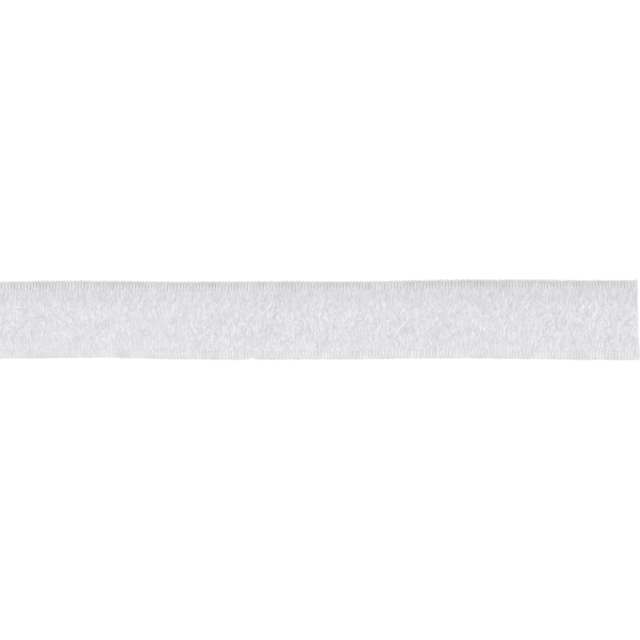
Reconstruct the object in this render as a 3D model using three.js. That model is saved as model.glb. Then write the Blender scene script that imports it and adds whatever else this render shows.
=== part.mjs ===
// A flat cut length of the soft, loop side of a hook and loop fastener tape, white, 20 mm wide.
// It is woven in one piece, so it is one solid: a thin ground cloth with two plain selvedges that
// the crosswise picks of the weave rib from end to end, and between them the raised, slightly
// lumpy bed of brushed loops. It lies flat, loops up. The left end is cut square, and the right
// end a little off square. Millimetres, +Z up, the length along X, and the origin on the floor
// under the middle of the strip.
import * as THREE from "three";

// Driving dimensions
const LENGTH = 180;
const PICK_PITCH = 0.82; // one crosswise rib of the weave
const SELVEDGE_WIDTH = 1.9; // plain woven margin, without loops, along each side
const SELVEDGE_HEIGHT = 1.0; // top of a rib
const BED_HEIGHT = 2.2; // top of the loops along the middle

// How the ribs, the edges and the loop bed depart from a plain slab
const RIB_DEPTH = 0.16; // from the top of a rib down to the groove beside it
const SCALLOP_DEPTH = 0.12; // from the tip of a weft turn in to the edge between two
const REST_INSET = 0.25; // the rounded lower edge, from the weft turn in to the flat underside
const TURN_INSET = 0.2; // the rounded upper edge
const TURN_HEIGHT = 0.45; // where the weft turns stand out furthest
const SHOULDER_RUN = 0.9; // how far the side of the loop bed leans in
const SHOULDER_DROP = 0.75; // how much lower the bed is at its shoulders
const END_SKEW = 0.031; // slope of the right end's cut, along X for each mm across

// The lines of the loop bed, as shares of the way from its middle to its shoulders, and how many
// picks lie between the sections of the bed and of the underside
const BED_SHARES = [1, 0.82, 0.55, 0.28, 0, -0.28, -0.55, -0.82, -1];
const PICKS_A_BED_STEP = 2;

// The strip's uneven outline: how far its middle wanders sideways, and how wide it is there,
// measured halfway up the scallops
const OUTLINE = [
  { at: -90, middle: 0.02, width: 19.65 },
  { at: -75, middle: -0.1, width: 19.68 },
  { at: -60, middle: 0.13, width: 19.77 },
  { at: -45, middle: 0.13, width: 19.68 },
  { at: -30, middle: -0.14, width: 19.79 },
  { at: -15, middle: -0.19, width: 20.03 },
  { at: 0, middle: -0.12, width: 20.09 },
  { at: 15, middle: -0.15, width: 19.94 },
  { at: 30, middle: 0.09, width: 19.97 },
  { at: 45, middle: 0.23, width: 20.05 },
  { at: 60, middle: 0.14, width: 20.29 },
  { at: 75, middle: -0.04, width: 20.33 },
  { at: 90, middle: -0.06, width: 20.4 },
];

// One weft turn on the near edge is pulled in and leaves a small nick
const NICK = { at: -9, reach: 0.9, depth: 0.4 };

// The lumps of the loop bed are three crossing waves: along and across are their lengths
const LUMPS = [
  { along: 5.3, across: 7.1, height: 0.05, start: 0.4 },
  { along: 7.9, across: -4.7, height: 0.05, start: 2.1 },
  { along: 4.1, across: 10.9, height: 0.04, start: 4.4 },
];

// A smooth line through one column of the outline table
function outlineColumn(column) {
  const line = new THREE.SplineCurve(OUTLINE.map((row) => new THREE.Vector2(row.at, row[column])));
  return (x) => line.getPoint((x + LENGTH / 2) / LENGTH).y;
}

const middleAt = outlineColumn("middle");
const widthAt = outlineColumn("width");

function lumpAt(x, y) {
  const wave = ({ along, across, height, start }) =>
    height * Math.sin(2 * Math.PI * (x / along + y / across) + start);
  return LUMPS.reduce((sum, lump) => sum + wave(lump), 0);
}

// How far the edge is drawn in from the outline: between two weft turns, and at the nick
function drawnIn(x, side, groove) {
  const nick = side < 0 ? Math.max(0, 1 - Math.abs(x - NICK.at) / NICK.reach) : 0;
  return (groove - 0.5) * SCALLOP_DEPTH + nick * NICK.depth;
}

// Sections stand on every rib and in every groove; every is how many of those places to step on
function sectionPlaces(every) {
  const halfPitch = PICK_PITCH / 2;
  const steps = Math.floor(LENGTH / halfPitch);
  const start = (-steps * halfPitch) / 2;
  const places = [{ x: -LENGTH / 2, groove: 1, skew: 0 }];
  for (let i = 1; i < steps; i += every) {
    places.push({ x: start + i * halfPitch, groove: (i + 1) % 2, skew: 0 });
  }
  return [...places, { x: LENGTH / 2, groove: 1, skew: END_SKEW }];
}

// A line that runs the whole length of the strip; at gives its place across and its height
function lengthwise(places, at) {
  return places.map(({ x, groove, skew }) => {
    const { y, z } = at(x, groove);
    return new THREE.Vector3(x - skew * y, y, z);
  });
}

// The selvedge's lines on one side, from the flat underside up over the ribs to the bed's foot.
// side is 1 at the far edge and -1 at the near one.
function selvedgeLines(side) {
  const ribs = sectionPlaces(1);
  const wide = sectionPlaces(2 * PICKS_A_BED_STEP);
  const across = (x, out) => middleAt(x) + side * out;
  const edge = (x, groove) => widthAt(x) / 2 - drawnIn(x, side, groove);
  const ribTop = (groove) => SELVEDGE_HEIGHT - groove * RIB_DEPTH;
  return [
    lengthwise(wide, (x) => ({ y: across(x, widthAt(x) / 2 - REST_INSET), z: 0 })),
    lengthwise(ribs, (x, groove) => ({ y: across(x, edge(x, groove)), z: TURN_HEIGHT })),
    lengthwise(ribs, (x, groove) => ({ y: across(x, edge(x, groove) - TURN_INSET), z: ribTop(groove) })),
    lengthwise(ribs, (x, groove) => ({ y: across(x, widthAt(x) / 2 - SELVEDGE_WIDTH), z: ribTop(groove) })),
  ];
}

// The lines over the top of the loop bed, from its far shoulder to its near one
function bedLines() {
  const wide = sectionPlaces(2 * PICKS_A_BED_STEP);
  return BED_SHARES.map((share) =>
    lengthwise(wide, (x) => {
      const y = share * (widthAt(x) / 2 - SELVEDGE_WIDTH - SHOULDER_RUN);
      return { y: middleAt(x) + y, z: BED_HEIGHT - SHOULDER_DROP * share ** 4 + lumpAt(x, y) };
    }),
  );
}

// Fills the band between two neighbouring lines, stepping along the one that lags behind
function bandFaces(one, other) {
  const faces = [];
  let [i, j] = [0, 0];
  while (i + 1 < one.length || j + 1 < other.length) {
    const stepOne = j + 1 === other.length || (i + 1 < one.length && one[i + 1].x <= other[j + 1].x);
    const next = stepOne ? one[i + 1] : other[j + 1];
    faces.push([one[i], other[j], next]);
    if (stepOne) i++;
    else j++;
  }
  return faces;
}

// Closes one cut end, across the first or the last points of the lines
function endFaces(points, rightEnd) {
  const shape = points.map(({ y, z }) => new THREE.Vector2(y, z));
  const corners = THREE.ShapeUtils.triangulateShape(shape, []);
  return corners.map(([a, b, c]) => (rightEnd ? [a, b, c] : [a, c, b]).map((k) => points[k]));
}

// The closed surface through all the lines, anticlockwise seen from the right end
function stripGeometry() {
  const lines = [...selvedgeLines(1), ...bedLines(), ...selvedgeLines(-1).reverse()];
  const faces = lines.flatMap((line, k) => bandFaces(line, lines[(k + 1) % lines.length]));
  faces.push(...endFaces(lines.map((line) => line.at(0)), false));
  faces.push(...endFaces(lines.map((line) => line.at(-1)), true));
  return new THREE.BufferGeometry().setFromPoints(faces.flat());
}

// Puts the origin under the middle of the strip's box, at the height of its underside
function centred(geometry) {
  geometry.computeBoundingBox();
  const middle = geometry.boundingBox.getCenter(new THREE.Vector3());
  return geometry.translate(-middle.x, -middle.y, 0);
}

function loopTape() {
  const geometry = centred(stripGeometry());
  geometry.computeVertexNormals();
  const whiteNylon = new THREE.MeshStandardMaterial({ color: 0xe9e9ec, roughness: 0.85, metalness: 0 });
  const mesh = new THREE.Mesh(geometry, whiteNylon);
  mesh.name = "loop_tape";
  return mesh;
}

const part = new THREE.Group();
part.add(loopTape());

export default part;
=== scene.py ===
import math
import bpy
import numpy as np
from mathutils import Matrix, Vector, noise
from mathutils.bvhtree import BVHTree


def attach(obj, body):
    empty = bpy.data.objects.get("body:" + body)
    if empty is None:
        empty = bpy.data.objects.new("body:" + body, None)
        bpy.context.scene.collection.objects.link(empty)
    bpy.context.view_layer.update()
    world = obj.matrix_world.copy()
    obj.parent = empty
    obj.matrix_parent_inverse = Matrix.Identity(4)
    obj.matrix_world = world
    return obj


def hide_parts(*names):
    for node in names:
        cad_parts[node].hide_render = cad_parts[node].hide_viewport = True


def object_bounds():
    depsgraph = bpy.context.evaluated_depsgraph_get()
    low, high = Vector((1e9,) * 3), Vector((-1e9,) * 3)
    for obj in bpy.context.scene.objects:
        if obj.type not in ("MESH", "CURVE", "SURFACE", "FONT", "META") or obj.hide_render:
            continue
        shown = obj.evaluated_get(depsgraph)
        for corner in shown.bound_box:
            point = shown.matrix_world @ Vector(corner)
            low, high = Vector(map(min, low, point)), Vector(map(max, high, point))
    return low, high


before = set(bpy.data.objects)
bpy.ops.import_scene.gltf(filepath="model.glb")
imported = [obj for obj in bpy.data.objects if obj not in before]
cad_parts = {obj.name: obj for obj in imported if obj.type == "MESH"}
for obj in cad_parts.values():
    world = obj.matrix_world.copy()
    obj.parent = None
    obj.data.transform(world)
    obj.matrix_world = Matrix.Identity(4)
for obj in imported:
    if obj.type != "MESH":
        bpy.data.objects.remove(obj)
cad_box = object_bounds()


# The camera looks straight down on the tape, as the photograph does. Its frame is 164 mm wide, so
# the tape runs out of it at the left, and the cut end stands just inside the right edge.
mm = 0.001
frame_width = 164.1 * mm
focus_height = 1.6 * mm  # where the frame is that wide, between the selvedges and the loops
camera_y = 0.02 * mm
end_margin = 0.2 * mm  # white to the right of the cut, halfway across the tape
cut_slant = 0.31 * mm  # how much further the slanted cut reaches at its near corner than midway

camera_data = bpy.data.cameras.new("camera")
camera_data.sensor_width = 36
camera_data.lens = 100
camera = bpy.data.objects.new("camera", camera_data)
camera.location = (
    cad_box[1].x - cut_slant + end_margin - frame_width / 2,
    camera_y,
    focus_height + frame_width * camera_data.lens / camera_data.sensor_width,
)
bpy.context.scene.collection.objects.link(camera)
bpy.context.scene.camera = camera


# A table of white opal glass that is lit through, like a light box. Its dull face glows evenly, so it
# stays white right up to the tape, and the tape throws hardly any shadow on it.
table_half = 1.5
table_drop = 0.02 * mm  # under the tape, so that the two faces never lie in one plane
table_glow = 0.42


def linear(hex_colour):
    """An sRGB hex colour as linear red, green, blue and alpha."""
    shares = [int(hex_colour[i : i + 2], 16) / 255 for i in (1, 3, 5)]
    return [s / 12.92 if s <= 0.04045 else ((s + 0.055) / 1.055) ** 2.4 for s in shares] + [1]


def add(tree, kind, inputs=None, **settings):
    """Adds a node to a tree. inputs has a value, or a socket to link, for an input's name or number."""
    node = tree.nodes.new(kind)
    for name, value in settings.items():
        setattr(node, name, value)
    for name, value in (inputs or {}).items():
        if isinstance(value, bpy.types.NodeSocket):
            tree.links.new(value, node.inputs[name])
        else:
            node.inputs[name].default_value = value
    return node


def new_material(name):
    """An empty material, and the tree to build it in."""
    material = bpy.data.materials.new(name)
    material.use_nodes = True
    material.node_tree.nodes.clear()
    return material, material.node_tree


def new_piece(name, points, faces, material):
    """A mesh object at the origin, in the frame's own coordinates."""
    mesh = bpy.data.meshes.new(name)
    mesh.from_pydata(np.asarray(points).tolist(), [], faces)
    mesh.materials.append(material)
    piece = bpy.data.objects.new(name, mesh)
    bpy.context.scene.collection.objects.link(piece)
    return piece


opal_glass, tree = new_material("opal_glass")
glass = add(
    tree,
    "ShaderNodeBsdfPrincipled",
    {
        "Base Color": linear("#F4F4F4"),
        "Roughness": 0.8,
        "Emission Color": linear("#FFFFFF"),
        "Emission Strength": table_glow,
    },
)
add(tree, "ShaderNodeOutputMaterial", {"Surface": glass.outputs["BSDF"]})

table_corners = [(-1, -1), (1, -1), (1, 1), (-1, 1)]
table = new_piece(
    "table",
    [(table_half * x, table_half * y, -table_drop) for x, y in table_corners],
    [(0, 1, 2, 3)],
    opal_glass,
)


# Plain studio light: an even white ceiling that dims towards the walls, and one wide softbox low on
# the near side, which leaves the far selvedge a little in the shade of the loops.
ceiling_strength = 1.33
wall_strength = 1.04
softbox_size = 0.7
softbox_power = 0.15
softbox_height = 0.3
softbox_distance = 0.75

world = bpy.data.worlds.new("studio")
world.use_nodes = True
world.node_tree.nodes.clear()
way = add(world.node_tree, "ShaderNodeTexCoord")
upwards = add(world.node_tree, "ShaderNodeSeparateXYZ", {0: way.outputs["Generated"]})
strength = add(
    world.node_tree,
    "ShaderNodeMapRange",
    {"Value": upwards.outputs["Z"], "To Min": wall_strength, "To Max": ceiling_strength},
)
sky = add(
    world.node_tree,
    "ShaderNodeBackground",
    {"Color": linear("#FFFFFF"), "Strength": strength.outputs[0]},
)
add(world.node_tree, "ShaderNodeOutputWorld", {"Surface": sky.outputs["Background"]})
bpy.context.scene.world = world

softbox_data = bpy.data.lights.new("softbox", "AREA")
softbox_data.size = softbox_size
softbox_data.energy = softbox_power
softbox = bpy.data.objects.new("softbox", softbox_data)
softbox.location = (0, -softbox_distance, softbox_height)
softbox.rotation_euler = (-softbox.location).to_track_quat("-Z", "Y").to_euler()
bpy.context.scene.collection.objects.link(softbox)

bpy.context.scene.view_settings.view_transform = "Standard"


# The ground cloth: one thin band of white nylon in plain weave, which the selvedges and the pile are
# woven into. Its underside shows the weave, warps and picks in turn, and it follows the outline.
pick_pitch = 0.82 * mm
edge_height = 0.45 * mm  # where the solid's weft turns stand out furthest
rib_height = 1.0 * mm  # top of the solid's ribs
selvedge_width = 1.9 * mm
nick_x = -9 * mm  # the one turn of the near edge that is pulled in too tight
nick_pull = 0.3 * mm  # how much further in it is than on the solid
ground_scallop = 0.12 * mm  # how much further in its edge is between two picks than beside one
ground_tuck = 0.1 * mm  # how far it stops short of the cuts, where only its threads go on
ground_height = 0.8 * mm
near_fullness = 0.055 * mm  # how much higher its upper side is at the near edge than at the far one
groove_depth = 0.05 * mm  # of its upper side, between two picks
ground_round = 0.25 * mm  # how much lower its upper edge is
over_columns = 12
under_columns = 12
under_ends = 0.04  # left out at each edge, of the half circle that spaces the underside's columns
sheared_length = 12 * mm  # the last of a piece, which leans over to the slanted cut
same_height = 0.01 * mm  # the most that the points of one of the solid's lines differ in height

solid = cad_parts["loop_tape"].data
solid_points = np.array([v.co for v in solid.vertices])
solid_faces = [list(p.vertices) for p in solid.polygons]
solid_surface = BVHTree.FromPolygons(solid_points.tolist(), solid_faces)


def solid_line(side, height):
    """The solid's points at one height along one side (1 is far, -1 near), in order of x."""
    on_line = (abs(solid_points[:, 2] - height) < same_height) & (solid_points[:, 1] * side > 0)
    return np.unique(solid_points[on_line].round(7), axis=0)


pick_places = np.unique(solid_line(1, rib_height)[:, 0].round(6))
turns_of = {}
for side in (1, -1):
    line = solid_line(side, edge_height)
    turns_of[side] = line[np.isin(line[:, 0].round(6), pick_places)]
turns_of[-1][np.argmin(abs(pick_places - nick_x)), 1] += nick_pull


def edge_at(x, side):
    """Where the solid's edge is on one side, at the turns of its weft, with the near edge's nick."""
    return np.interp(x, turns_of[side][:, 0], turns_of[side][:, 1])


def pick_wave(x):
    """1 on the middle of a pick, and -1 halfway between two."""
    return np.cos(2 * np.pi * (x - pick_places[0]) / pick_pitch)


def places_along(step):
    """Even places from the square end to the middle of the slanted one."""
    start, stop = cad_box[0].x, cad_box[1].x - cut_slant
    return np.linspace(start, stop, round((stop - start) / step) + 1)


def right_cut(y):
    """Where the slanted cut is at a place across the tape."""
    return cad_box[1].x - cut_slant * (1 + y / cad_box[1].y)


def slanted(points):
    """Shears the last of a piece, so that it ends at the slanted cut."""
    stop = cad_box[1].x - cut_slant
    share = np.clip(1 - (stop - points[..., 0]) / sheared_length, 0, 1)
    points[..., 0] -= share * cut_slant / cad_box[1].y * points[..., 1]
    return points


def lofted(name, rings, material):
    """A closed body through rings of points, each anticlockwise seen from the slanted end."""
    count, size = rings.shape[:2]
    faces = [
        (i * size + j, i * size + (j + 1) % size, (i + 1) * size + (j + 1) % size, (i + 1) * size + j)
        for i in range(count - 1)
        for j in range(size)
    ]
    faces.append(tuple(reversed(range(size))))
    faces.append(tuple(range((count - 1) * size, count * size)))
    piece = new_piece(name, rings.reshape(-1, 3), faces, material)
    piece.data.polygons.foreach_set("use_smooth", [True] * (len(faces) - 2) + [False] * 2)
    return piece


def with_painted_shade(tree, colour, shade):
    """Multiplies a grey over a colour towards one side, as painted shade. shade is the grey, and the y
    where it starts and is whole.
    """
    grey, start, stop = shade
    place = add(tree, "ShaderNodeTexCoord").outputs["Object"]
    across = add(tree, "ShaderNodeSeparateXYZ", {0: place}).outputs["Y"]
    share = add(tree, "ShaderNodeMapRange", {"Value": across, "From Min": start, "From Max": stop})
    inputs = {"Factor": share.outputs[0], 6: colour, 7: linear(grey)}
    return add(tree, "ShaderNodeMix", inputs, data_type="RGBA", blend_type="MULTIPLY").outputs[2]


# Woven nylon, heat set: crisp threads with a low, silky gloss, whose filaments show as fine lines
# along each thread. The far selvedge is painted a little greyer than the near one, as painted shade
# from the loops beside it. lie is the scale of the filaments' noise along x, y and z, where a tenth
# draws it out tenfold.
filament_width = 0.07 * mm  # of a few real filaments, because one alone is too fine to show
filament_relief = 0.015 * mm
tone_patch = 4 * mm  # of cloth that is a little lighter or darker than the rest
# painted shade over the far selvedge: a grey that starts at y = 7.4 mm and is whole by 10.6 mm
far_selvedge_painted_shade = ("#E9E9E8", 7.4 * mm, 10.6 * mm)


def woven_nylon(name, lie):
    """The finish of threads that lie one way."""
    material, tree = new_material(name)
    place = add(tree, "ShaderNodeTexCoord").outputs["Object"]
    drawn_out = add(tree, "ShaderNodeMapping", {"Vector": place, "Scale": lie})
    filaments = add(
        tree,
        "ShaderNodeTexNoise",
        {"Vector": drawn_out.outputs["Vector"], "Scale": 1 / filament_width, "Detail": 2},
    )
    patches = add(tree, "ShaderNodeTexNoise", {"Vector": place, "Scale": 1 / tone_patch, "Detail": 3})
    tone = add(
        tree,
        "ShaderNodeMix",
        {"Factor": patches.outputs["Fac"], 6: linear("#D4D4D4"), 7: linear("#EFEFEF")},
        data_type="RGBA",
    )
    gloss = add(
        tree,
        "ShaderNodeMapRange",
        {"Value": filaments.outputs["Fac"], "To Min": 0.4, "To Max": 0.65},
    )
    raised = add(
        tree,
        "ShaderNodeBump",
        {"Height": filaments.outputs["Fac"], "Strength": 0.5, "Distance": filament_relief},
    )
    nylon = add(
        tree,
        "ShaderNodeBsdfPrincipled",
        {
            "Base Color": with_painted_shade(tree, tone.outputs[2], far_selvedge_painted_shade),
            "Normal": raised.outputs["Normal"],
            "Roughness": gloss.outputs[0],
            "IOR": 1.53,
            "Sheen Weight": 0.1,
        },
    )
    add(tree, "ShaderNodeOutputMaterial", {"Surface": nylon.outputs["BSDF"]})
    return material


weft_nylon = woven_nylon("woven_nylon_weft", (1, 0.1, 1))
warp_nylon = woven_nylon("woven_nylon_warp", (0.1, 1, 1))

# Woven nylon again, in the plain weave of the ground, pressed flat: warps and picks come up in turn,
# each as a small rounded cell, with painted shade in the crevices between the cells, and the whole has
# a dull, even sheen. The far selvedge carries painted shade as well.
ground_warp_spacing = 0.26 * mm
weave_relief = 0.05 * mm  # how far warps and picks stand out of each other

plain_weave, tree = new_material("plain_woven_nylon")
place = add(tree, "ShaderNodeTexCoord").outputs["Object"]
xyz = add(tree, "ShaderNodeSeparateXYZ", {0: place})
pick_turn = add(
    tree,
    "ShaderNodeMath",
    {0: xyz.outputs["X"], 1: math.pi / pick_pitch, 2: -math.pi * pick_places[0] / pick_pitch},
    operation="MULTIPLY_ADD",
)
warp_turn = add(
    tree,
    "ShaderNodeMath",
    {0: xyz.outputs["Y"], 1: math.pi / ground_warp_spacing},
    operation="MULTIPLY",
)
pick_side = add(tree, "ShaderNodeMath", {0: pick_turn.outputs[0]}, operation="COSINE")
warp_side = add(tree, "ShaderNodeMath", {0: warp_turn.outputs[0]}, operation="COSINE")
on_top = add(
    tree, "ShaderNodeMath", {0: pick_side.outputs[0], 1: warp_side.outputs[0]}, operation="MULTIPLY"
)
cell_height_and_shade = add(tree, "ShaderNodeMath", {0: on_top.outputs[0]}, operation="ABSOLUTE")
# painted shade: the crevices between the weave's cells are painted darker than the cells' tops
tone = add(
    tree,
    "ShaderNodeMix",
    {"Factor": cell_height_and_shade.outputs[0], 6: linear("#CACACA"), 7: linear("#EEEEEE")},
    data_type="RGBA",
)
raised = add(
    tree, "ShaderNodeBump", {"Height": cell_height_and_shade.outputs[0], "Strength": 1.0, "Distance": weave_relief}
)
nylon = add(
    tree,
    "ShaderNodeBsdfPrincipled",
    {
        "Base Color": with_painted_shade(tree, tone.outputs[2], far_selvedge_painted_shade),
        "Normal": raised.outputs["Normal"],
        "Roughness": 0.6,
        "IOR": 1.53,
    },
)
add(tree, "ShaderNodeOutputMaterial", {"Surface": nylon.outputs["BSDF"]})

x = places_along(pick_pitch / 2)
x[[0, -1]] += (ground_tuck, -ground_tuck)
groove = (1 - pick_wave(x)) / 2
inset = ground_scallop * groove
near, far = edge_at(x, -1) + inset, edge_at(x, 1) - inset
under_share = (1 - np.cos(np.linspace(under_ends, 1 - under_ends, under_columns) * np.pi)) / 2
over_share = (1 - np.cos(np.linspace(0, np.pi, over_columns))) / 2
under_y = near[:, None] + (far - near)[:, None] * under_share
under_z = 0 * under_y
over_y = far[:, None] - (far - near)[:, None] * over_share
over_z = ground_height + near_fullness * over_share - groove_depth * groove[:, None]
over_z[:, [0, -1]] -= ground_round
side_z = np.full_like(x, ground_height / 2)[:, None]
ring_y = np.hstack([under_y, far[:, None], over_y, near[:, None]])
ring_z = np.hstack([under_z, side_z, over_z, side_z])
ring_x = x[:, None] + 0 * ring_y
woven_ground = lofted("woven_ground", slanted(np.dstack([ring_x, ring_y, ring_z])), plain_weave)
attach(woven_ground, "root")
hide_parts("loop_tape")


# The weft: each pick is a double thread of textured nylon laid in across the tape. It shows in the
# selvedges, where it makes the ribs, and turns back at the edge in a small round loop.
weft_thickness = 0.34 * mm
weft_gap = 0.28 * mm  # from the middle of one thread of a pick to the middle of the other
weft_height = 0.78 * mm
weft_droop = 0.2 * mm  # how much lower its turn is, where it rounds the edge
weft_overhang = 0.4 * mm  # from the solid's edge out to the furthest of the turn
weft_reach = 2.4 * mm  # from the turn in to the ends of its legs, under the loops
weft_turn_share = 0.4  # of the points of a turn that lie in its round end
weft_points = 10
last_turn_inset = 0.2 * mm  # from the slanted cut to the one more turn that it left on each side


def new_maker(name, sizes):
    """A Geometry Nodes tree with a Geometry input, and its named inputs' sockets."""
    tree = bpy.data.node_groups.new(name, "GeometryNodeTree")
    tree.interface.new_socket("Geometry", in_out="OUTPUT", socket_type="NodeSocketGeometry")
    tree.interface.new_socket("Geometry", in_out="INPUT", socket_type="NodeSocketGeometry")
    for label, kind in sizes.items():
        tree.interface.new_socket(label, in_out="INPUT", socket_type="NodeSocket" + kind)
    return tree, tree.nodes.new("NodeGroupInput").outputs


def end_maker(tree, geometry, material):
    """Ends a tree: shaded smooth, its copies made real, and given their material."""
    smooth = add(tree, "GeometryNodeSetShadeSmooth", {"Geometry": geometry})
    real = add(tree, "GeometryNodeRealizeInstances", {"Geometry": smooth.outputs["Geometry"]})
    dressed = add(
        tree, "GeometryNodeSetMaterial", {"Geometry": real.outputs["Geometry"], "Material": material}
    )
    add(tree, "NodeGroupOutput", {"Geometry": dressed.outputs["Geometry"]})


def made(name, base, tree, sizes):
    """Runs a tree on a base mesh, and keeps what it makes as a plain mesh piece."""
    piece = bpy.data.objects.new(name, base)
    bpy.context.scene.collection.objects.link(piece)
    modifier = piece.modifiers.new("maker", "NODES")
    modifier.node_group = tree
    for socket in tree.interface.items_tree:
        if socket.name in sizes:
            modifier[socket.identifier] = sizes[socket.name]
    evaluated = piece.evaluated_get(bpy.context.evaluated_depsgraph_get())
    result = bpy.data.meshes.new_from_object(evaluated)
    piece.modifiers.clear()
    piece.data = result
    result.name = name
    return piece


def paths_mesh(name, paths):
    """A mesh of edges, one row of them for each path."""
    starts = np.cumsum([0] + [len(p) for p in paths])
    edges = [(s + i, s + i + 1) for s, p in zip(starts, paths) for i in range(len(p) - 1)]
    mesh = bpy.data.meshes.new(name)
    mesh.from_pydata(np.concatenate(paths).tolist(), edges, [])
    return mesh


# A yarn along every path, a little uneven in its place, with closed ends
yarn_maker, size = new_maker(
    "yarn_along_paths",
    {
        "Thickness": "Float",
        "Flatness": "Float",
        "Sides": "Int",
        "Unevenness": "Float",
        "Bump Length": "Float",
        "Material": "Material",
    },
)
path = add(yarn_maker, "GeometryNodeMeshToCurve", {"Mesh": size["Geometry"]})
level = add(yarn_maker, "GeometryNodeSetCurveNormal", {"Curve": path.outputs[0]}, mode="Z_UP")
place = add(yarn_maker, "GeometryNodeInputPosition")
per_metre = add(yarn_maker, "ShaderNodeMath", {0: 1.0, 1: size["Bump Length"]}, operation="DIVIDE")
uneven = add(
    yarn_maker,
    "ShaderNodeTexNoise",
    {"Vector": place.outputs[0], "Scale": per_metre.outputs[0], "Detail": 1},
)
centred = add(
    yarn_maker,
    "ShaderNodeVectorMath",
    {0: uneven.outputs["Color"], 1: (0.5, 0.5, 0.5)},
    operation="SUBTRACT",
)
shift = add(
    yarn_maker,
    "ShaderNodeVectorMath",
    {0: centred.outputs[0], "Scale": size["Unevenness"]},
    operation="SCALE",
)
moved = add(
    yarn_maker, "GeometryNodeSetPosition", {"Geometry": level.outputs[0], "Offset": shift.outputs[0]}
)
circle = add(
    yarn_maker, "GeometryNodeCurvePrimitiveCircle", {"Resolution": size["Sides"], "Radius": 0.5}
)
oval = add(yarn_maker, "ShaderNodeCombineXYZ", {"X": 1.0, "Y": size["Flatness"], "Z": 1.0})
section = add(
    yarn_maker, "GeometryNodeTransform", {"Geometry": circle.outputs[0], "Scale": oval.outputs[0]}
)
yarn = add(
    yarn_maker,
    "GeometryNodeCurveToMesh",
    {
        "Curve": moved.outputs[0],
        "Profile Curve": section.outputs[0],
        "Scale": size["Thickness"],
        "Fill Caps": True,
    },
)
end_maker(yarn_maker, yarn.outputs[0], size["Material"])


def weft_turn(x, side):
    """The path of one pick in one selvedge: along, round the end and back."""
    u = np.linspace(-1, 1, weft_points)
    angle = np.clip(u / weft_turn_share, -1, 1) * np.pi / 2
    leg = np.maximum(0, abs(u) - weft_turn_share) / (1 - weft_turn_share)
    out = weft_overhang - weft_thickness / 2 + weft_gap / 2 * (np.cos(angle) - 1) - weft_reach * leg
    y = edge_at(x, side) + side * out
    return np.column_stack(
        [x + weft_gap / 2 * np.sin(angle), y, weft_height - weft_droop * np.cos(angle)]
    )


weft_turns = [(x, side) for side in (1, -1) for x in pick_places]
weft_turns += [(right_cut(side * cad_box[1].y) - last_turn_inset, side) for side in (1, -1)]
weft_picks = made(
    "weft_picks",
    paths_mesh("weft_paths", [weft_turn(x, side) for x, side in weft_turns]),
    yarn_maker,
    {
        "Thickness": weft_thickness,
        "Flatness": 1.1,
        "Sides": 8,
        "Unevenness": 0.3 * mm,
        "Bump Length": 1.1 * mm,
        "Material": weft_nylon,
    },
)
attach(weft_picks, "root")
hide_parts("loop_tape")


# The warps of the selvedges: fine nylon threads that run the length of the tape and pass over one
# pick and under the next, each one the other way about from its neighbour.
warp_thickness = 0.18 * mm
warp_flatness = 0.6
warps_a_side = 8
warp_spacing = 0.2 * mm
first_warp_inset = 0.34 * mm  # from the solid's edge in to the outermost warp
warp_rise = 0.25 * mm
warp_steps_a_pick = 3


def warp_path(number, side):
    """The path of one warp, counted in from the edge."""
    x = places_along(pick_pitch / warp_steps_a_pick)
    wave = np.cos(np.pi * (x - pick_places[0]) / pick_pitch + np.pi * (number % 2))
    y = edge_at(x, side) - side * (first_warp_inset + number * warp_spacing)
    return slanted(np.column_stack([x, y, weft_height + warp_rise * wave]))


selvedge_warps = made(
    "selvedge_warps",
    paths_mesh("warp_paths", [warp_path(n, side) for side in (1, -1) for n in range(warps_a_side)]),
    yarn_maker,
    {
        "Thickness": warp_thickness,
        "Flatness": warp_flatness,
        "Sides": 4,
        "Unevenness": 0.05 * mm,
        "Bump Length": 2.0 * mm,
        "Material": warp_nylon,
    },
)
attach(selvedge_warps, "root")
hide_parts("loop_tape")


# The binding warp: one rounder nylon thread in the near selvedge, beside the loops, that shows as a
# dotted line where it comes up over each pick.
binding_thickness = 0.19 * mm
binding_inset = 1.62 * mm  # from the solid's edge
binding_rise = 0.24 * mm

x = places_along(pick_pitch / warp_steps_a_pick)
binding_z = weft_height + binding_rise * pick_wave(x)
path = np.column_stack([x, edge_at(x, -1) + binding_inset, binding_z])
binding_warp = made(
    "binding_warp",
    paths_mesh("binding_path", [slanted(path)]),
    yarn_maker,
    {
        "Thickness": binding_thickness,
        "Flatness": 0.8,
        "Sides": 5,
        "Unevenness": 0.05 * mm,
        "Bump Length": 2.0 * mm,
        "Material": warp_nylon,
    },
)
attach(binding_warp, "root")
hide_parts("loop_tape")


# The catch thread: on the near side the loom knits the turns of the weft together with one fine
# nylon thread, which runs along the edge as a chain, a stitch to each pick.
chain_thickness = 0.11 * mm
chain_inset = 0.27 * mm  # from the solid's edge in to the middle of the chain
chain_half_width = 0.13 * mm
chain_overlap = 0.3  # how far a stitch doubles back, as a share of the pitch
chain_rise = 0.07 * mm
chain_height = 0.98 * mm
chain_points_a_stitch = 12

turn = np.arange(0, (len(pick_places) - 1) * chain_points_a_stitch + 1) / chain_points_a_stitch
chain_x = pick_places[0] + pick_pitch * (turn - chain_overlap * np.sin(2 * np.pi * turn))
chain_y = edge_at(chain_x, -1) + chain_inset + chain_half_width * np.cos(2 * np.pi * turn)
chain_z = chain_height + chain_rise * np.sin(2 * np.pi * turn)
selvedge_chain = made(
    "selvedge_chain",
    paths_mesh("chain_path", [slanted(np.column_stack([chain_x, chain_y, chain_z]))]),
    yarn_maker,
    {
        "Thickness": chain_thickness,
        "Flatness": 1.0,
        "Sides": 5,
        "Unevenness": 0.04 * mm,
        "Bump Length": 1.5 * mm,
        "Material": warp_nylon,
    },
)
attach(selvedge_chain, "root")
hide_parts("loop_tape")


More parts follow.
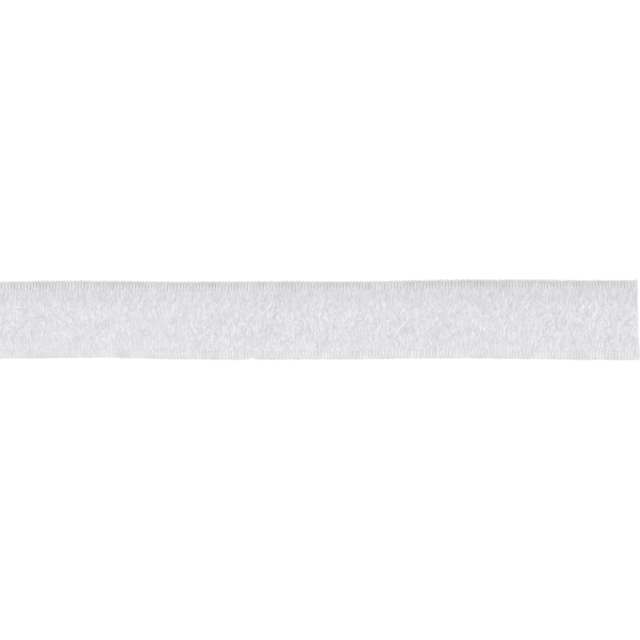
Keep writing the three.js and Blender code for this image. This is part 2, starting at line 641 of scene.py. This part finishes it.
# The bed that the loops stand in: the feet of the pile threads and the finest of the brushed fibres,
# matted together into a soft, lumpy felt, combed across the tape.
bed_depth = 0.25 * mm  # from the tips of the loops, which are the solid's own top, to the matted bed
bed_step = pick_pitch / 4
bed_columns = 34
bed_tuck = 0.12 * mm  # how far the bed stops short of the cuts
ridge_width = 0.45 * mm
ridge_length = 2.2 * mm
ridge_height = 0.05 * mm
ridge_slant = 0.2  # along x for each mm across
row_height = 0.06 * mm  # of the rows that the picks make in it along both sides
row_fade = 1.8 * mm  # how far in from its foot they are lost
end_round = 0.3 * mm  # the last of the bed before a cut, where it falls away
end_drop = 0.12 * mm
above_all = 10 * mm  # higher than anything on the table

# Nylon fibre, brushed and matted: dull and very slightly violet, with a soft bloom. Its tones are
# painted darker than the loops', as shade where it shows between them, and darkest as painted shade
# in the gaps between its tufts. The far side of the pile carries painted shade too.
tuft_width = 0.1 * mm
tuft_relief = 0.05 * mm
combing = (1, 0.14, 0.5)  # scale of the tufts' noise along x, y and z, so that they lie along y
# painted shade: the bed's tones, darker than the loops', and darkest in the gaps between its tufts
tuft_gap_painted_shade, tuft_tone = "#D5D4D9", "#F2F1F5"
gap_level, tuft_level = 0.36, 0.64  # of the noise, where it is all gap and where it is all tuft
# painted shade over the far side of the pile: a grey that starts at y = 3 mm and is whole by 9 mm
far_pile_painted_shade = ("#F6F7F4", 3 * mm, 9 * mm)

matted_nylon, tree = new_material("matted_nylon_fibre")
place = add(tree, "ShaderNodeTexCoord").outputs["Object"]
combed = add(tree, "ShaderNodeMapping", {"Vector": place, "Scale": combing})
tangle = add(
    tree,
    "ShaderNodeTexNoise",
    {
        "Vector": combed.outputs["Vector"],
        "Scale": 1 / tuft_width,
        "Detail": 3,
        "Distortion": 0.8,
    },
)
tufts = add(
    tree,
    "ShaderNodeMapRange",
    {"Value": tangle.outputs["Fac"], "From Min": gap_level, "From Max": tuft_level},
)
tone = add(
    tree,
    "ShaderNodeMix",
    {"Factor": tufts.outputs[0], 6: linear(tuft_gap_painted_shade), 7: linear(tuft_tone)},
    data_type="RGBA",
)
raised = add(
    tree, "ShaderNodeBump", {"Height": tufts.outputs[0], "Strength": 0.8, "Distance": tuft_relief}
)
felt = add(
    tree,
    "ShaderNodeBsdfPrincipled",
    {
        "Base Color": with_painted_shade(tree, tone.outputs[2], far_pile_painted_shade),
        "Normal": raised.outputs["Normal"],
        "Roughness": 0.7,
        "IOR": 1.53,
        "Sheen Weight": 0.2,
    },
)
add(tree, "ShaderNodeOutputMaterial", {"Surface": felt.outputs["BSDF"]})


def bed_top(x, share):
    """A point of the matted bed, share of the way across from its near foot."""
    near, far = edge_at(x, -1) + selvedge_width, edge_at(x, 1) - selvedge_width
    y = near + (far - near) * share
    inside = min(x, bed_x[-1] - cut_slant)
    hit = solid_surface.ray_cast((inside, y, above_all), (0, 0, -1))[0]
    ridge = noise.noise(((x + ridge_slant * y) / ridge_width, y / ridge_length, 0))
    from_foot = min(y - near, far - y)
    row = max(0, 1 - from_foot / row_fade) * pick_wave(x)
    from_cut = min(x - bed_x[0], bed_x[-1] - x)
    drop = end_drop * max(0, 1 - from_cut / end_round) ** 2
    return (x, y, hit.z - bed_depth + ridge_height * ridge + row_height * row - drop)


bed_x = places_along(bed_step)
bed_x[[0, -1]] += (bed_tuck, -bed_tuck)
top = np.array([[bed_top(x, share) for share in np.linspace(1, 0, bed_columns)] for x in bed_x])
foot = top[:, [-1, 0]] * (1, 1, 0) + (0, 0, ground_height / 2)
pile_bed = lofted("pile_bed", slanted(np.concatenate([foot, top], axis=1)), matted_nylon)
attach(pile_bed, "root")
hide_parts("loop_tape")


# The loops: threads of white nylon that the loom raises in rows, one to each pick, and the finisher
# brushes open, so that they lie tangled, mostly across the tape. Along both sides they reach out over
# the selvedges and keep their rows.
margin_start = 0.03  # as shares of the pile's width, where each side's margin of loops runs
margin_stop = 0.14
fields = 3  # pieces that the middle of the pile is made in
stray_inset = 1.5 * mm  # from each cut to where the stray loops start
densest = 2e7  # sites in a square metre, which is more than their spacing leaves room for
loop_points = 7
strand_sides = 3
end_dip = 0.2  # how far a loop's two ends go down into the bed, as a share of its rise
length_shares = (0.6, 1.4)  # the least and the most of the common length, bow and rise in a strand
bow_shares = (-1.0, 1.0)
rise_shares = (0.3, 1.2)
bend_length = 1.3 * mm  # of the waves that a tangled strand lies in
thinnest, fullest = 0.7, 1.3  # strands, as shares of their common thickness
end_share, middle_share = 0.5, 1.1  # of a strand's own thickness, at its two ends and its middle

# Nylon drawn into fine, smooth strands: each catches a soft light along its back, and no two have
# quite the same tone.
tone_spot = 1.1 * mm  # of the pile that is a little lighter or darker than the rest

loop_nylon, tree = new_material("brushed_nylon_loops")
place = add(tree, "ShaderNodeTexCoord").outputs["Object"]
patches = add(tree, "ShaderNodeTexNoise", {"Vector": place, "Scale": 1 / tone_spot, "Detail": 3})
strand = add(tree, "ShaderNodeAttribute", attribute_name="strand_tone")
mixed = add(
    tree,
    "ShaderNodeMath",
    {0: patches.outputs["Fac"], 1: strand.outputs["Fac"]},
    operation="MULTIPLY",
)
tone = add(
    tree,
    "ShaderNodeMix",
    {"Factor": mixed.outputs[0], 6: linear("#F4F3F7"), 7: linear("#FCFBFE")},
    data_type="RGBA",
)
# Towards the far side a grey is laid over the strands' colour as painted shade.
nylon = add(
    tree,
    "ShaderNodeBsdfPrincipled",
    {
        "Base Color": with_painted_shade(tree, tone.outputs[2], far_pile_painted_shade),
        "Roughness": 0.45,
        "IOR": 1.53,
        "Sheen Weight": 0.15,
    },
)
add(tree, "ShaderNodeOutputMaterial", {"Surface": nylon.outputs["BSDF"]})

loop_maker, size = new_maker(
    "brushed_loops",
    {
        "Bed": "Object",
        "Selvedge Height": "Float",
        "First Pick": "Float",
        "Half Pitch": "Float",
        "Row Hold": "Float",
        "Lock Spacing": "Float",
        "Strands a Lock": "Int",
        "Lock Width": "Float",
        "Thickness": "Float",
        "Length": "Float",
        "Bow": "Float",
        "Rise": "Float",
        "Lean": "Float",
        "Spread": "Float",
        "Wander": "Float",
        "Left End": "Float",
        "Right End": "Float",
        "Seed": "Int",
        "Material": "Material",
    },
)

# Sites spread evenly over the patch, each drawn towards the middle of its pick
sites = add(
    loop_maker,
    "GeometryNodeDistributePointsOnFaces",
    {
        "Mesh": size["Geometry"],
        "Distance Min": size["Lock Spacing"],
        "Density Max": densest,
        "Seed": size["Seed"],
    },
    distribute_method="POISSON",
)
place = add(loop_maker, "GeometryNodeInputPosition")
site = add(loop_maker, "ShaderNodeSeparateXYZ", {0: place.outputs[0]})
from_first = add(
    loop_maker, "ShaderNodeMath", {0: site.outputs["X"], 1: size["First Pick"]}, operation="SUBTRACT"
)
below_half = add(loop_maker, "ShaderNodeMath", {0: 0.0, 1: size["Half Pitch"]}, operation="SUBTRACT")
from_pick = add(
    loop_maker,
    "ShaderNodeMath",
    {0: from_first.outputs[0], 1: size["Half Pitch"], 2: below_half.outputs[0]},
    operation="WRAP",
)
pull = add(
    loop_maker, "ShaderNodeMath", {0: from_pick.outputs[0], 1: size["Row Hold"]}, operation="MULTIPLY"
)
back = add(loop_maker, "ShaderNodeMath", {0: 0.0, 1: pull.outputs[0]}, operation="SUBTRACT")
sideways = add(loop_maker, "ShaderNodeCombineXYZ", {"X": back.outputs[0]})
in_rows = add(
    loop_maker,
    "GeometryNodeSetPosition",
    {"Geometry": sites.outputs["Points"], "Offset": sideways.outputs[0]},
)

# A lock of a few strands at each site, which all lie nearly the same way
least = add(loop_maker, "ShaderNodeMath", {0: size["Lean"], 1: size["Spread"]}, operation="SUBTRACT")
most = add(loop_maker, "ShaderNodeMath", {0: size["Lean"], 1: size["Spread"]}, operation="ADD")
lock_turn = add(
    loop_maker,
    "FunctionNodeRandomValue",
    {2: least.outputs[0], 3: most.outputs[0], "Seed": size["Seed"]},
)
marked = add(
    loop_maker,
    "GeometryNodeStoreNamedAttribute",
    {"Geometry": in_rows.outputs[0], "Name": "lock_turn", "Value": lock_turn.outputs[1]},
    data_type="FLOAT",
    domain="POINT",
)
several = add(
    loop_maker,
    "GeometryNodeDuplicateElements",
    {"Geometry": marked.outputs[0], "Amount": size["Strands a Lock"]},
    domain="POINT",
)
aside = add(
    loop_maker,
    "FunctionNodeRandomValue",
    {0: (-1, -1, 0), 1: (1, 1, 0), "Seed": 7},
    data_type="FLOAT_VECTOR",
)
apart = add(
    loop_maker,
    "ShaderNodeVectorMath",
    {0: aside.outputs[0], "Scale": size["Lock Width"]},
    operation="SCALE",
)
strands = add(
    loop_maker,
    "GeometryNodeSetPosition",
    {"Geometry": several.outputs[0], "Offset": apart.outputs[0]},
)

# One loop of unit size: it lies along y, bows out along x and stands up along z
line = add(
    loop_maker, "GeometryNodeCurvePrimitiveLine", {"Start": (0, -0.5, 0), "End": (0, 0.5, 0)}
)
stepped = add(
    loop_maker, "GeometryNodeResampleCurve", {"Curve": line.outputs[0], "Count": loop_points}
)
along = add(loop_maker, "GeometryNodeSplineParameter")
from_middle = add(
    loop_maker,
    "ShaderNodeMath",
    {0: along.outputs["Factor"], 1: 2.0, 2: -1.0},
    operation="MULTIPLY_ADD",
)
squared = add(loop_maker, "ShaderNodeMath", {0: from_middle.outputs[0], 1: 2.0}, operation="POWER")
arched = add(
    loop_maker,
    "ShaderNodeMath",
    {0: squared.outputs[0], 1: -1 - end_dip, 2: 1.0},
    operation="MULTIPLY_ADD",
)
bow_and_rise = add(
    loop_maker, "ShaderNodeCombineXYZ", {"X": squared.outputs[0], "Z": arched.outputs[0]}
)
arch = add(
    loop_maker,
    "GeometryNodeSetPosition",
    {"Geometry": stepped.outputs[0], "Offset": bow_and_rise.outputs[0]},
)

# A copy of it for each strand, turned as its lock is and with a share of its own of the common bow,
# length and rise
own_length = add(
    loop_maker,
    "FunctionNodeRandomValue",
    {2: length_shares[0], 3: length_shares[1], "Seed": 11},
)
own_bow = add(
    loop_maker, "FunctionNodeRandomValue", {2: bow_shares[0], 3: bow_shares[1], "Seed": 12}
)
own_rise = add(
    loop_maker, "FunctionNodeRandomValue", {2: rise_shares[0], 3: rise_shares[1], "Seed": 13}
)
own_shares = add(
    loop_maker,
    "ShaderNodeCombineXYZ",
    {"X": own_bow.outputs[1], "Y": own_length.outputs[1], "Z": own_rise.outputs[1]},
)
common_size = add(
    loop_maker, "ShaderNodeCombineXYZ", {"X": size["Bow"], "Y": size["Length"], "Z": size["Rise"]}
)
stretch = add(
    loop_maker,
    "ShaderNodeVectorMath",
    {0: own_shares.outputs[0], 1: common_size.outputs[0]},
    operation="MULTIPLY",
)
turn_read = add(
    loop_maker, "GeometryNodeInputNamedAttribute", {"Name": "lock_turn"}, data_type="FLOAT"
)
about_z = add(loop_maker, "ShaderNodeCombineXYZ", {"Z": turn_read.outputs[0]})
turned = add(loop_maker, "FunctionNodeEulerToRotation", {0: about_z.outputs[0]})
copies = add(
    loop_maker,
    "GeometryNodeInstanceOnPoints",
    {
        "Points": strands.outputs[0],
        "Instance": arch.outputs[0],
        "Rotation": turned.outputs[0],
        "Scale": stretch.outputs[0],
    },
)
tone_chance = add(loop_maker, "FunctionNodeRandomValue", {2: 0.0, 3: 1.0, "Seed": 14})
toned = add(
    loop_maker,
    "GeometryNodeStoreNamedAttribute",
    {"Geometry": copies.outputs[0], "Name": "strand_tone", "Value": tone_chance.outputs[1]},
    data_type="FLOAT",
    domain="INSTANCE",
)
real = add(loop_maker, "GeometryNodeRealizeInstances", {"Geometry": toned.outputs[0]})

# Each strand wanders a way of its own, because its noise is read at a place of its own
tone_read = add(
    loop_maker, "GeometryNodeInputNamedAttribute", {"Name": "strand_tone"}, data_type="FLOAT"
)
place = add(loop_maker, "GeometryNodeInputPosition")
own = add(loop_maker, "ShaderNodeCombineXYZ", {"Z": tone_read.outputs[0]})
own_place = add(
    loop_maker, "ShaderNodeVectorMath", {0: place.outputs[0], 1: own.outputs[0]}, operation="ADD"
)
drift = add(
    loop_maker,
    "ShaderNodeTexNoise",
    {"Vector": own_place.outputs[0], "Scale": 1 / bend_length, "Detail": 0},
)
centred = add(
    loop_maker,
    "ShaderNodeVectorMath",
    {0: drift.outputs["Color"], 1: (0.5, 0.5, 0.5)},
    operation="SUBTRACT",
)
drifted = add(
    loop_maker,
    "ShaderNodeVectorMath",
    {0: centred.outputs[0], "Scale": size["Wander"]},
    operation="SCALE",
)
tangled = add(
    loop_maker,
    "GeometryNodeSetPosition",
    {"Geometry": real.outputs[0], "Offset": drifted.outputs[0]},
)

# The strands are laid on the bed, or on the selvedge beside it, and stop at the two cuts
place = add(loop_maker, "GeometryNodeInputPosition")
xyz = add(loop_maker, "ShaderNodeSeparateXYZ", {0: place.outputs[0]})
after_left = add(
    loop_maker, "ShaderNodeMath", {0: xyz.outputs["X"], 1: size["Left End"]}, operation="MAXIMUM"
)
slant = add(
    loop_maker,
    "ShaderNodeMath",
    {0: xyz.outputs["Y"], 1: -cut_slant / cad_box[1].y, 2: size["Right End"]},
    operation="MULTIPLY_ADD",
)
within = add(
    loop_maker, "ShaderNodeMath", {0: after_left.outputs[0], 1: slant.outputs[0]}, operation="MINIMUM"
)
above = add(
    loop_maker,
    "ShaderNodeCombineXYZ",
    {"X": within.outputs[0], "Y": xyz.outputs["Y"], "Z": above_all},
)
bed = add(loop_maker, "GeometryNodeObjectInfo", {"Object": size["Bed"]})
fall = add(
    loop_maker,
    "GeometryNodeRaycast",
    {
        "Target Geometry": bed.outputs["Geometry"],
        "Source Position": above.outputs[0],
        "Ray Direction": (0, 0, -1),
        "Ray Length": 2 * above_all,
    },
)
landed = add(loop_maker, "ShaderNodeSeparateXYZ", {0: fall.outputs["Hit Position"]})
height = add(
    loop_maker,
    "GeometryNodeSwitch",
    {"Switch": fall.outputs["Is Hit"], "False": size["Selvedge Height"], "True": landed.outputs["Z"]},
    input_type="FLOAT",
)
lifted = add(
    loop_maker, "ShaderNodeMath", {0: xyz.outputs["Z"], 1: height.outputs[0]}, operation="ADD"
)
resting = add(
    loop_maker,
    "ShaderNodeCombineXYZ",
    {"X": within.outputs[0], "Y": xyz.outputs["Y"], "Z": lifted.outputs[0]},
)
laid = add(
    loop_maker,
    "GeometryNodeSetPosition",
    {"Geometry": tangled.outputs[0], "Position": resting.outputs[0]},
)

# Fuller and thinner strands, each finer towards its two ends
fuller = add(
    loop_maker,
    "ShaderNodeMath",
    {0: tone_read.outputs[0], 1: fullest - thinnest, 2: thinnest},
    operation="MULTIPLY_ADD",
)
along = add(loop_maker, "GeometryNodeSplineParameter")
from_middle = add(
    loop_maker,
    "ShaderNodeMath",
    {0: along.outputs["Factor"], 1: 2.0, 2: -1.0},
    operation="MULTIPLY_ADD",
)
squared = add(loop_maker, "ShaderNodeMath", {0: from_middle.outputs[0], 1: 2.0}, operation="POWER")
finer = add(
    loop_maker,
    "ShaderNodeMath",
    {0: squared.outputs[0], 1: end_share - middle_share, 2: middle_share},
    operation="MULTIPLY_ADD",
)
shape = add(
    loop_maker, "ShaderNodeMath", {0: fuller.outputs[0], 1: finer.outputs[0]}, operation="MULTIPLY"
)
thickness = add(
    loop_maker, "ShaderNodeMath", {0: size["Thickness"], 1: shape.outputs[0]}, operation="MULTIPLY"
)
section = add(
    loop_maker, "GeometryNodeCurvePrimitiveCircle", {"Resolution": strand_sides, "Radius": 0.5}
)
fibre = add(
    loop_maker,
    "GeometryNodeCurveToMesh",
    {
        "Curve": laid.outputs[0],
        "Profile Curve": section.outputs[0],
        "Scale": thickness.outputs[0],
        "Fill Caps": True,
    },
)
end_maker(loop_maker, fibre.outputs[0], size["Material"])


def pile_patch(name, from_share, to_share, from_x, to_x):
    """A flat piece of the pile's plan, for loops to grow from."""
    xs = np.linspace(from_x, to_x, round((to_x - from_x) / mm) + 1)
    near, far = edge_at(xs, -1) + selvedge_width, edge_at(xs, 1) - selvedge_width
    rows = [(xs, near + (far - near) * share, 0 * xs) for share in (from_share, to_share)]
    points = np.dstack(np.hstack(rows)).reshape(-1, 3)
    count = len(xs)
    faces = [(i, i + 1, count + i + 1, count + i) for i in range(count - 1)]
    mesh = bpy.data.meshes.new(name)
    mesh.from_pydata(points.tolist(), [], faces)
    return mesh


# What all the loops share, then the field along the middle, made in three pieces, the two margins,
# which keep their rows, and a few finer strays that stand higher out of the pile
left_end, right_end = cad_box[0].x, cad_box[1].x - cut_slant
loop_sizes = {
    "Bed": pile_bed,
    "Selvedge Height": rib_height,
    "First Pick": pick_places[0],
    "Half Pitch": pick_pitch / 2,
    "Strands a Lock": 2,
    "Lock Width": 0.14 * mm,
    "Thickness": 0.085 * mm,
    "Wander": 0.6 * mm,
    "Left End": left_end,
    "Right End": right_end,
    "Material": loop_nylon,
}
field_sizes = {
    **loop_sizes,
    "Row Hold": 0.5,
    "Lock Spacing": 0.43 * mm,
    "Length": 1.9 * mm,
    "Bow": 0.5 * mm,
    "Rise": 0.16 * mm,
    "Lean": math.radians(-8),
    "Spread": math.radians(45),
}
margin_sizes = {
    **loop_sizes,
    "Row Hold": 0.95,
    "Lock Width": 0.06 * mm,
    "Wander": 0.3 * mm,
    "Lock Spacing": 0.4 * mm,
    "Length": 2.0 * mm,
    "Bow": 0.15 * mm,
    "Rise": 0.2 * mm,
    "Lean": math.radians(-15),
    "Spread": math.radians(7),
}
bounds = np.linspace(left_end, right_end, fields + 1)
field_shares = (margin_stop, 1 - margin_stop)
patches = {f"pile_field_{n + 1}": (*field_shares, bounds[n], bounds[n + 1]) for n in range(fields)}
pile = [
    made(name, pile_patch(name, *patch), loop_maker, {**field_sizes, "Seed": 21 + n})
    for n, (name, patch) in enumerate(patches.items())
]
patches = {
    "pile_near_margin": (margin_start, margin_stop, left_end, right_end),
    "pile_far_margin": (1 - margin_stop, 1 - margin_start, left_end, right_end),
}
pile += [
    made(name, pile_patch(name, *patch), loop_maker, {**margin_sizes, "Seed": 31 + n})
    for n, (name, patch) in enumerate(patches.items())
]
stray_sizes = {
    **loop_sizes,
    "Row Hold": 0.0,
    "Lock Spacing": 2.4 * mm,
    "Strands a Lock": 1,
    "Thickness": 0.05 * mm,
    "Length": 2.4 * mm,
    "Bow": 1.2 * mm,
    "Rise": 0.6 * mm,
    "Lean": 0.0,
    "Spread": math.pi,
    "Seed": 41,
}
stray_ends = (left_end + stray_inset, right_end - stray_inset)
stray_patch = pile_patch("stray_loops", *field_shares, *stray_ends)
pile.append(made("stray_loops", stray_patch, loop_maker, stray_sizes))
for piece in pile:
    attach(piece, "root")
    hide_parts("loop_tape")


# The cut ends: where the tape is cut across, the warps of the ground and the finer threads of the
# pile end in rows of short stubs, which the shears leave a little uneven.
cut_depth = 0.6 * mm  # how far back inside the cloth a stub starts
least_stray = (-0.03, -0.08, 0)  # in mm, how far a stub's end stands past the cut, aside and down
most_stray = (0.12, 0.08, 0.04)
cut_rows = [
    {
        "name": "cut_ground_warps",
        "thickness": 0.23,
        "spacing": 0.26,
        "heights": (0.16, 0.37, 0.58),
        "inset": 0.14,
    },
    {
        "name": "cut_pile_threads",
        "thickness": 0.12,
        "spacing": 0.17,
        "heights": (0.78, 0.93, 1.08),
        "inset": 2.7,
    },
]
shears = np.random.default_rng(41)


def stub_path(y, height, end):
    """One cut thread: end is 1 at the slanted cut and -1 at the square one."""
    cut_x = right_cut(y) if end > 0 else left_end
    reach, aside, droop = shears.uniform(least_stray, most_stray) * mm
    return [
        (cut_x - end * cut_depth, y, height),
        (cut_x, y + aside / 2, height),
        (cut_x + end * reach, y + aside, height - droop),
    ]


for row in cut_rows:
    near, far = edge_at(0, -1) + row["inset"] * mm, edge_at(0, 1) - row["inset"] * mm
    paths = [
        stub_path(y, height * mm, end)
        for end in (-1, 1)
        for height in row["heights"]
        for y in np.arange(near, far, row["spacing"] * mm)
    ]
    sizes = {
        "Thickness": row["thickness"] * mm,
        "Flatness": 1.0,
        "Sides": 6,
        "Unevenness": 0.06 * mm,
        "Bump Length": 0.5 * mm,
        "Material": warp_nylon,
    }
    piece = made(row["name"], paths_mesh(row["name"], paths), yarn_maker, sizes)
    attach(piece, "root")
    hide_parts("loop_tape")
